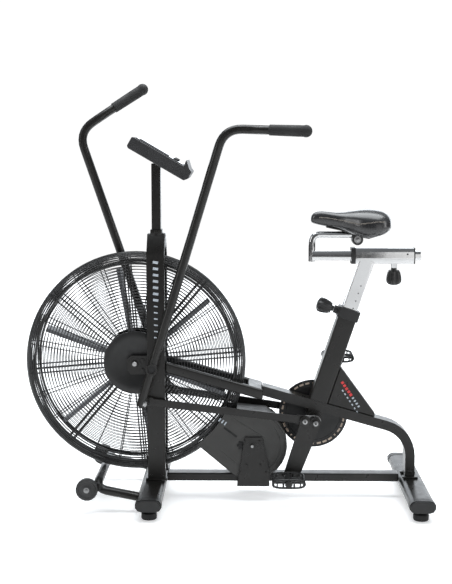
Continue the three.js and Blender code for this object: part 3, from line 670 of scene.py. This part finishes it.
def saddle_seams(cover, low, high):
    """Two threads twisted round each other along each side, laid on the finished cover."""
    skin = BVHTree.FromObject(cover, bpy.context.evaluated_depsgraph_get())
    size = high - low
    steps = 180
    steps_per_twist = 7
    bm = bmesh.new()
    for side in (-1, 1):
        for strand in (0, math.pi):
            points = []
            for i in range(steps + 1):
                share = 0.025 + 0.95 * i / steps
                dip = 0.16 * math.sin(math.pi * min(1, share / 0.9)) ** 2
                target = Vector((low.x + size.x * share, side * 0.13, low.z + size.z * (0.78 - dip)))
                spot, normal, _, _ = skin.find_nearest(target)
                twist = strand + 2 * math.pi * i / steps_per_twist
                lift = 0.0007 + 0.0005 * math.cos(twist)
                points.append(spot + normal * lift + Vector((0, 0, 0.0014 * math.sin(twist))))
            sweep(bm, points, 0.0006, 6)
    piece("saddle_seams", bm, THREAD, "saddle")


def saddle_rail(nose, clamp, under, side):
    """Points of one rail, which widens from the nose, dips over the clamp and rises to the tail."""
    route = [(nose + 0.05, 0.01, 0.004), (nose + 0.09, 0.016, -0.004),
             (clamp - 0.02, 0.0215, -0.014), (clamp + 0.02, 0.0215, -0.014),
             (clamp + 0.06, 0.03, -0.004), (clamp + 0.075, 0.034, 0.004)]
    return [Vector((x, side * y, under + z)) for x, y, z in route]


def clamp_cheek(bm, clamp, top, inner, side):
    """The plate that comes down from the saddle on one side of the clamp."""
    outline = ((-0.016, -0.012), (0.012, -0.029), (0.034, -0.033), (0.052, -0.028), (0.085, -0.006),
               (0.085, 0.008), (-0.03, 0.008))
    rings = []
    for y in (inner, inner + 0.008):
        rings.append([bm.verts.new(Vector((clamp + x, side * y, top + z))) for x, z in outline])
    join_rings(bm, rings)


def saddle_base(low, high):
    """The hard shell, rails and cheeks under the saddle, and the bolts of its clamp."""
    clamp_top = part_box("saddle_clamp")[1]
    clamp = middle("saddle_clamp").x
    under = low.z + (high.z - low.z) * 0.36
    bm = bmesh.new()
    block(bm, Vector((clamp + 0.012, 0, clamp_top.z + 0.0075)), (0.12, 0.05, 0.014), 0, 0.004)
    for side in (-1, 1):
        sweep(bm, saddle_rail(low.x, clamp, under, side), 0.0035, 10)
    for side in (-1, 1):
        clamp_cheek(bm, clamp, clamp_top.z, clamp_top.y + 0.0015, side)
    piece("saddle_base", bm, MATERIALS["black_plastic"], "saddle", bevel=0.0012)
    bolts = bmesh.new()
    for side in (-1, 1):
        at = sideways(joint_point("saddle_tilt"), side, clamp_top.y + 0.0004)
        bolt(bolts, at, (0, side, 0), 0.0075, 0.006)
    piece("saddle_bolts", bolts, MATERIALS["steel"], "slider")


# ---------------------------------------------------------------- fasteners and small fittings
# How far the link pin stands from the crank axle, the angle it is turned to, and where the outer
# faces of the crank arm and of the handlebar's lever are.
LINK_THROW = 0.0343
LINK_RISE = 10
ARM_FACE = 0.105
LEVER_FACE = 0.1243


def crank_bolts():
    """Washers and bright bolts at the crank axle and at the link pin on both crank arms."""
    crank = joint_point("crank_spin")
    angle = math.radians(180 - LINK_RISE)
    head = [(0, 0.0078), (0.0055, 0.0078), (0.0068, 0.0062)]
    socket = [(0, 0.0036), (0.0042, 0.0036)]
    washers, bolts = bmesh.new(), bmesh.new()
    for _, side in SIDES:
        out = (0, side, 0)
        pin = crank + Vector((math.cos(angle), 0, math.sin(angle))) * (-side * LINK_THROW)
        for at, radius in ((crank, 0.0145), (pin, 0.0165)):
            washer = [(-0.001, radius), (0.002, radius), (0.003, radius - 0.0015)]
            turned(washers, sideways(at, side, ARM_FACE), washer, out, 32)
            turned(bolts, sideways(at, side, ARM_FACE + 0.0032), head, out, 24)
            turned(washers, sideways(at, side, ARM_FACE + 0.0062), socket, out, 6)
    piece("crank_washers", washers, MATERIALS["black_frame"], "crank")
    piece("crank_bolts", bolts, MATERIALS["steel"], "crank")


def handle_hardware():
    """Rims round the open tube ends at the handlebar pivots, a black disc in each as painted shade for the dark
    inside of the tube, and bolts at the lever ends.
    """
    rim_section = [(0.0037, 0.0130), (0.0037, 0.0178), (0.0045, 0.0172), (0.0045, 0.0136)]
    for label, side in SIDES:
        out = (0, side, 0)
        pivot = joint_point(f"{label}_handle_swing")
        stub = reach_of(f"{label}_pivot")
        rim = bmesh.new()
        rings = []
        for distance, radius in rim_section:
            circle = circle_points(pivot, radius, side * (stub + distance), 40)
            rings.append([rim.verts.new(v) for v in circle])
        join_rings(rim, rings, True)
        piece(f"{label}_pivot_rim", rim, MATERIALS["black_frame"], f"{label}_handle")
        # A flat black disc at the end of the stub is painted shade: it stands for the dark inside of the open
        # tube.
        shade_disc = bmesh.new()
        turned(shade_disc, sideways(pivot, side, stub), [(-0.001, 0.0119), (0.0006, 0.0119)], out, 32)
        piece(f"{label}_pivot_shade_disc", shade_disc, MATERIALS["rubber"], "frame")
        lever = bmesh.new()
        bolt(lever, sideways(joint_point(f"{label}_link_swing"), side, LEVER_FACE), out, 0.0075, 0.006)
        piece(f"{label}_lever_bolt", lever, MATERIALS["steel"], f"{label}_handle")


# Screws on each face of the drive bracket, as steps in X and Z from the jackshaft.
BRACKET_SCREWS = ((-0.018, -0.062), (0.026, -0.062), (-0.039, -0.087), (0.044, -0.087), (0.024, 0.016),
                  (-0.024, 0.016))
# The height at which the mast's wide part ends and the console post goes on.
MAST_SHOULDER = 0.862


def bracket_bolts(bright, plates, side):
    """The nut of the jackshaft and the screws round it on the drive bracket."""
    out = (0, side, 0)
    shaft = joint_point("jackshaft_spin")
    face = reach_of("drive_bracket")
    bolt(plates, sideways(shaft, side, face + 0.0006), out, 0.0095, 0.0035)
    turned(bright, sideways(shaft, side, face + 0.002), [(0, 0.0045), (0.005, 0.0045)], out, 20)
    for dx, dz in BRACKET_SCREWS:
        at = sideways(shaft + Vector((dx, 0, dz)), side, face)
        turned(plates, at, [(-0.0005, 0.0042), (0.0014, 0.0042), (0.0022, 0.003)], out, 16)


def foot_plates(plates, side):
    """The plates and bolts that hold the mast and the rear spine to the stabilizers."""
    out = (0, side, 0)
    low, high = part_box("mast")
    x = middle("mast").x
    for dx in (-0.02, 0.02):
        bolt(plates, Vector((x + dx, side * high.y, low.z + 0.016)), out, 0.0042, 0.0035)
    block(plates, Vector((x, side * 0.06, low.z + 0.0026)), (0.07, 0.036, 0.005), 0, 0.0012)
    low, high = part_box("rear_spine")
    bolt(plates, Vector((high.x - 0.016, side * 0.0298, low.z + 0.022)), out, 0.0065, 0.005)
    block(plates, Vector((high.x - 0.0155, side * 0.032, low.z + 0.0026)), (0.05, 0.022, 0.005), 0, 0.0012)


def frame_bolts():
    """Axle nuts, bracket screws and the bolts of the mast's and the spine's feet."""
    fan = joint_point("fan_spin")
    plate = reach_of("near_axle_plate")
    stud = [(0, 0.0075), (0.006, 0.0075), (0.007, 0.0065)]
    bright, plates = bmesh.new(), bmesh.new()
    for _, side in SIDES:
        bolt(plates, sideways(fan, side, plate - 0.0045), (0, side, 0), 0.0125, 0.008)
        turned(bright, sideways(fan, side, plate + 0.001), stud, (0, side, 0), 20)
        bracket_bolts(bright, plates, side)
        foot_plates(plates, side)
    piece("axle_nuts", bright, MATERIALS["steel"], "frame")
    piece("mounting_plates", plates, MATERIALS["black_frame"], "frame")


def mast_collar():
    """Clamp where the console post slides into the top of the mast."""
    x = middle("mast").x
    bm = bmesh.new()
    block(bm, Vector((x, 0, MAST_SHOULDER + 0.004)), (0.038, 0.052, 0.02), 0, 0.003)
    block(bm, Vector((x + 0.004, 0, MAST_SHOULDER - 0.006)), (0.05, 0.046, 0.014), 0, 0.003)
    for side in (-1, 1):
        bolt(bm, Vector((x, side * 0.0262, MAST_SHOULDER + 0.004)), (0, side, 0), 0.0045, 0.004)
    piece("mast_collar", bm, MATERIALS["black_frame"], "frame")


def wheel_hubs():
    """A raised hub, a moulded ring and a nut on the outer face of each transport wheel."""
    hub = [(-0.001, 0.0155), (0.0012, 0.0155), (0.0024, 0.013)]
    for label, side in SIDES:
        out = (0, side, 0)
        at = joint_point(f"{label}_wheel_spin")
        face = reach_of(f"{label}_transport_wheel")
        bm = bmesh.new()
        turned(bm, sideways(at, side, face), hub, out, 28)
        sweep(bm, circle_points(at, 0.0262, side * (face + 0.0002), 40), 0.0012, 6, True)
        piece(f"{label}_wheel_hub", bm, MATERIALS["wheel"], f"{label}_wheel")
        nut = bmesh.new()
        bolt(nut, sideways(at, side, face + 0.0026), out, 0.0058, 0.004)
        piece(f"{label}_wheel_nut", nut, MATERIALS["steel"], f"{label}_wheel")


# ---------------------------------------------------------------- drive cover, seat and console details
def arc(centre, radius, y, start, end):
    """Points of part of a circle that faces along Y, from start to end in degrees."""
    made = []
    for degrees in spread_over(start, end, 41):
        angle = math.radians(degrees)
        made.append(Vector((centre.x + radius * math.cos(angle), y, centre.z + radius * math.sin(angle))))
    return made


def chain_adjuster(label, shaft, side, face):
    """The slotted adjuster with its four screws, and the dark stripe above it."""
    clip = bmesh.new()
    slot = sideways(shaft + Vector((-0.037, 0, 0)), side, face + 0.001)
    block(clip, slot, (0.014, 0.003, 0.026), 0, 0.001)
    block(clip, slot + Vector((0, side * 0.001, 0)), (0.024, 0.003, 0.008), 0, 0.001)
    for dx, dz in ((-0.009, 0), (0.009, 0), (0, 0.0095), (0, -0.0095)):
        at = slot + Vector((dx, side * 0.002, dz))
        turned(clip, at, [(0, 0.0022), (0.0014, 0.0022), (0.0018, 0.0014)], (0, side, 0), 12)
    stripe = sideways(shaft + Vector((-0.07, 0, 0.043)), side, face + 0.0006)
    block(clip, stripe, (0.052, 0.0016, 0.006), 36, 0.0006)
    piece(f"{label}_chain_adjuster", clip, MATERIALS["rubber"], "frame")


def cover_details():
    """Moulded ridges, a chain adjuster and three light marks on both drive covers."""
    shaft = joint_point("jackshaft_spin")
    for label, side in SIDES:
        face = reach_of(f"{label}_drive_cover")
        bm = bmesh.new()
        sweep(bm, arc(shaft, 0.106, side * face, -118, 64), 0.0013, 6)
        sweep(bm, arc(shaft, 0.091, side * face, -62, 40), 0.0009, 6)
        for ends in (((-0.06, 0.088), (0.04, 0.026)), ((-0.1, -0.02), (-0.049, -0.062))):
            line = [sideways(shaft + Vector((dx, 0, dz)), side, face) for dx, dz in ends]
            sweep(bm, line, 0.0009, 6)
        piece(f"{label}_cover_ridges", bm, MATERIALS["drive_cover"], "frame")
        chain_adjuster(label, shaft, side, face)
        marks = bmesh.new()
        for k in range(3):
            at = shaft + Vector((-0.104 + 0.009 * k, 0, 0.084 - 0.006 * k))
            block(marks, sideways(at, side, face + PRINT_DEPTH / 2), (0.012, PRINT_DEPTH, 0.0042), -54)
        piece(f"{label}_cover_marks", marks, PRINT_LIGHT, "frame")


def band(bm, outline, thickness, start, end):
    """A hollow collar along X round an outline in Y and Z, grown outward by thickness."""
    centre = sum((Vector((0, y, z)) for y, z in outline), Vector()) / len(outline)
    inner = 0.0002
    rings = []
    for x, grow in ((start, thickness), (end, thickness), (end, inner), (start, inner)):
        ring = []
        for y, z in outline:
            away = (Vector((0, y, z)) - centre).normalized()
            ring.append(bm.verts.new(Vector((x, y, z)) + away * grow))
        rings.append(ring)
    join_rings(bm, rings, True)


# The chrome sleeve on top of the seat post: its length along X and half of its height.
SLEEVE_LENGTH = 0.2014
SLEEVE_HALF = 0.025


def sleeve_outline(middle_z):
    """The six-sided section of the sliding sleeve, widest just below its middle."""
    flat, waist = 0.02, 0.028
    return [(flat, middle_z + SLEEVE_HALF), (-flat, middle_z + SLEEVE_HALF), (-waist, middle_z - 0.005),
            (-flat, middle_z - SLEEVE_HALF), (flat, middle_z - SLEEVE_HALF), (waist, middle_z - 0.005)]


def seat_details():
    """Seals and screw of the sliding sleeve, and the height marks along the seat post."""
    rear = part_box("seat_post")[1]
    middle_z = rear.z - SLEEVE_HALF
    front_x = rear.x - SLEEVE_LENGTH
    outline = sleeve_outline(middle_z)
    seals = bmesh.new()
    band(seals, outline, 0.0006, front_x - 0.0006, front_x + 0.013)
    band(seals, outline, 0.0004, rear.x - 0.003, rear.x + 0.0006)
    piece("sleeve_seals", seals, MATERIALS["black_plastic"], "post")
    up = Vector(JOINTS["post_height"]["axis"])
    lean = math.degrees(math.atan2(up.x, up.z))
    foot = middle("seat_collar") + Vector((0.012, 0, -0.004))
    marks = bmesh.new()
    for _, side in SIDES:
        for k in range(4):
            at = sideways(foot + up * (0.024 + 0.0255 * k), side, 0.0241)
            block(marks, at, (0.0062, PRINT_DEPTH, 0.0012), lean)
            block(marks, at, (0.0012, PRINT_DEPTH, 0.0062), lean)
        at = Vector((rear.x - 0.024, side * 0.0262, middle_z + 0.006))
        turned(marks, at, [(-0.001, 0.0028), (0.0012, 0.0028)], (0, side, 0), 14)
    piece("post_marks", marks, MATERIALS["rubber"], "post")


def mast_print():
    """A plain ladder of light bars down the mast, wider in its upper half."""
    x = middle("mast").x + 0.001
    face = reach_of("mast") + PRINT_DEPTH / 2
    bm = bmesh.new()
    for _, side in SIDES:
        for k, z in enumerate(spread_over(0.775, 0.535, 13)):
            width, height = (0.017, 0.008) if k < 7 else (0.012, 0.004)
            block(bm, Vector((x, side * face, z)), (width, PRINT_DEPTH, height), 8)
    piece("mast_print", bm, PRINT_LIGHT, "frame")


def gusset_print():
    """Plain bars along the sloping edge of the gusset: five red, four light, and a finer row inside."""
    corners = vertices_of("gusset")
    top = sideways(max(corners, key=lambda v: v.z), 1, 0)
    rear = sideways(max(corners, key=lambda v: v.x), 1, 0)
    along = (rear - top).normalized()
    inward = Vector((along.z, 0, -along.x))
    turn = math.degrees(math.atan2(-along.z, along.x))
    face = reach_of("gusset") + PRINT_DEPTH / 2
    red, light = bmesh.new(), bmesh.new()
    rows = ((red, 5, 0.048, 0.012, 0.024, (0.008, PRINT_DEPTH, 0.009)),
            (light, 4, 0.109, 0.011, 0.024, (0.005, PRINT_DEPTH, 0.007)),
            (light, 7, 0.07, 0.014, 0.038, (0.006, PRINT_DEPTH, 0.004)))
    for _, side in SIDES:
        for bm, count, first, step, inset, size in rows:
            for k in range(count):
                at = top + along * (first + step * k) + inward * inset
                block(bm, sideways(at, side, face), size, turn)
    piece("gusset_print", red, PRINT_RED, "frame")
    piece("gusset_marks", light, PRINT_LIGHT, "frame")


def disc_print():
    """A ring of small dashes near the rim of the chain guard disc, and its two pressed edges."""
    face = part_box("crank_guard_disc")[0].y
    centre = joint_point("crank_spin")
    rim = bmesh.new()
    for radius, wire in ((0.1115, 0.0014), (0.09, 0.0012)):
        sweep(rim, circle_points(centre, radius, face, 72), wire, 6, True)
    piece("guard_disc_rim", rim, MATERIALS["black_plastic"], "crank")
    dashes = bmesh.new()
    count = 32
    for k in range(count):
        angle = 2 * math.pi * k / count
        at = centre + Vector((math.cos(angle), 0, math.sin(angle))) * 0.1015
        length = 0.014 if k % 4 else 0.005
        block(dashes, sideways(at, 1, face - PRINT_DEPTH / 2), (length, PRINT_DEPTH, 0.0058),
              90 - math.degrees(angle))
    piece("guard_disc_print", dashes, PRINT_SAND, "crank")


def console_details():
    """A glossy window and a row of round keys on the console face."""
    face = next(m for m in frame["record"]["mounts"] if m["name"] == "console_top_face")
    centre, up = Vector(face["pos_m"]), Vector(face["axis"])
    down = Vector((up.z, 0, -up.x))
    tilt = math.degrees(math.atan2(up.x, up.z))
    glass = bmesh.new()
    block(glass, centre - down * 0.02 + up * 0.0008, (0.105, 0.14, 0.002), tilt, 0.0006)
    piece("console_window", glass, MATERIALS["console_face"], "frame")
    keys = bmesh.new()
    for y in spread_over(-0.056, 0.056, 5):
        at = centre + down * 0.056 + up * 0.0002 + Vector((0, y, 0))
        turned(keys, at, [(0, 0.0082), (0.0022, 0.0082), (0.003, 0.0072)], up, 28)
    piece("console_keys", keys, MATERIALS["rubber"], "frame")


# ---------------------------------------------------------------- camera, light and floor
def camera():
    """A long lens a little above the saddle, looking slightly down."""
    data = bpy.data.cameras.new("camera")
    data.lens = LENS
    data.sensor_width = 36
    made = bpy.data.objects.new("camera", data)
    SCENE.collection.objects.link(made)
    made.location = CAMERA_AT
    made.rotation_euler = (math.radians(CAMERA_PITCH), 0, math.radians(CAMERA_TURN))
    SCENE.camera = made


def softbox(name, at, target, size, power, colour=(1, 1, 1)):
    """A rectangular light that faces a target; power is in watts."""
    data = bpy.data.lights.new(name, "AREA")
    data.shape = "RECTANGLE"
    data.size, data.size_y = size
    data.energy = power
    data.color = colour
    made = bpy.data.objects.new(name, data)
    SCENE.collection.objects.link(made)
    made.location = at
    made.rotation_euler = (Vector(target) - Vector(at)).to_track_quat("-Z", "Y").to_euler()


def floor():
    """A pale round studio floor that glows, more so away from the bike, so that it fades to white."""
    bm = bmesh.new()
    bmesh.ops.create_circle(bm, cap_ends=True, segments=64, radius=FLOOR_RADIUS)
    mesh = bpy.data.meshes.new("floor")
    bm.to_mesh(mesh)
    bm.free()
    paint = finish_of("studio_floor", (0.86, 0.86, 0.86), (0.88, 0.88, 0.88), (0.5, 0.6), depth=0)
    nodes, links = paint.node_tree.nodes, paint.node_tree.links
    shader = nodes["Principled BSDF"]
    shader.inputs["Emission Color"].default_value = (1, 1, 1, 1)
    where = nodes.new("ShaderNodeTexCoord")
    distance = nodes.new("ShaderNodeVectorMath")
    distance.operation = "LENGTH"
    links.new(where.outputs["Object"], distance.inputs[0])
    glow = between(nodes, links, distance.outputs["Value"], 0.36, 0.74, 1.0, 4.5)
    links.new(glow, shader.inputs["Emission Strength"])
    mesh.materials.append(paint)
    made = bpy.data.objects.new("floor", mesh)
    SCENE.collection.objects.link(made)
    made.location.z = -0.0005


def surround():
    """A white surround for the camera, and a dimmer one for the bike that is darkest at the horizon."""
    world = bpy.data.worlds.new("studio")
    world.use_nodes = True
    nodes, links = world.node_tree.nodes, world.node_tree.links
    seen = nodes["Background"]
    seen.inputs["Color"].default_value = (1, 1, 1, 1)
    seen.inputs["Strength"].default_value = 1.05
    where = nodes.new("ShaderNodeTexCoord")
    split = nodes.new("ShaderNodeSeparateXYZ")
    links.new(where.outputs["Generated"], split.inputs["Vector"])
    height = between(nodes, links, split.outputs["Z"], 0, 1, -1, 1)
    ramp = nodes.new("ShaderNodeValToRGB")
    below, above = ramp.color_ramp.elements
    below.position = 0.0
    below.color = (0.55, 0.55, 0.55, 1)
    above.position = 1.0
    above.color = (0.75, 0.8, 0.85, 1)
    horizon = ramp.color_ramp.elements.new(0.52)
    horizon.color = (0.16, 0.16, 0.165, 1)
    links.new(height, ramp.inputs["Fac"])
    lit = nodes.new("ShaderNodeBackground")
    lit.inputs["Strength"].default_value = 0.8
    links.new(ramp.outputs["Color"], lit.inputs["Color"])
    path = nodes.new("ShaderNodeLightPath")
    choose = nodes.new("ShaderNodeMixShader")
    links.new(path.outputs["Is Camera Ray"], choose.inputs["Fac"])
    links.new(lit.outputs["Background"], choose.inputs[1])
    links.new(seen.outputs["Background"], choose.inputs[2])
    links.new(choose.outputs["Shader"], nodes["World Output"].inputs["Surface"])
    SCENE.world = world
    SCENE.view_settings.view_transform = "Standard"


def light():
    """Soft boxes above, at both ends and behind, and a weak one far to the front right."""
    surround()
    softbox("top", (0.1, 0.3, 3.4), (0, 0, 0.3), (3.4, 2.6), 170, (0.95, 0.98, 1.0))
    softbox("left", (-3.0, -1.8, 1.8), (0, 0, 0.6), (0.8, 2.2), 30)
    softbox("right", (3.0, -1.2, 1.6), (0, 0, 0.6), (0.8, 2.2), 30)
    softbox("back", (0.0, 6.0, 1.6), (0, 0, 0.6), (9.0, 2.6), 170, (0.9, 0.95, 1.0))
    softbox("card", (3.1, -6.0, 1.0), (3.1, 0, 1.0), (3.8, 2.6), 40)


finish_cad_nodes()
for label, side in SIDES:
    cage(label, side)
cage_clips()
fan_blades()
grips()
pedals()
knobs()
saddle()
crank_bolts()
handle_hardware()
frame_bolts()
mast_collar()
wheel_hubs()
cover_details()
seat_details()
mast_print()
gusset_print()
disc_print()
console_details()
camera()
light()
floor()
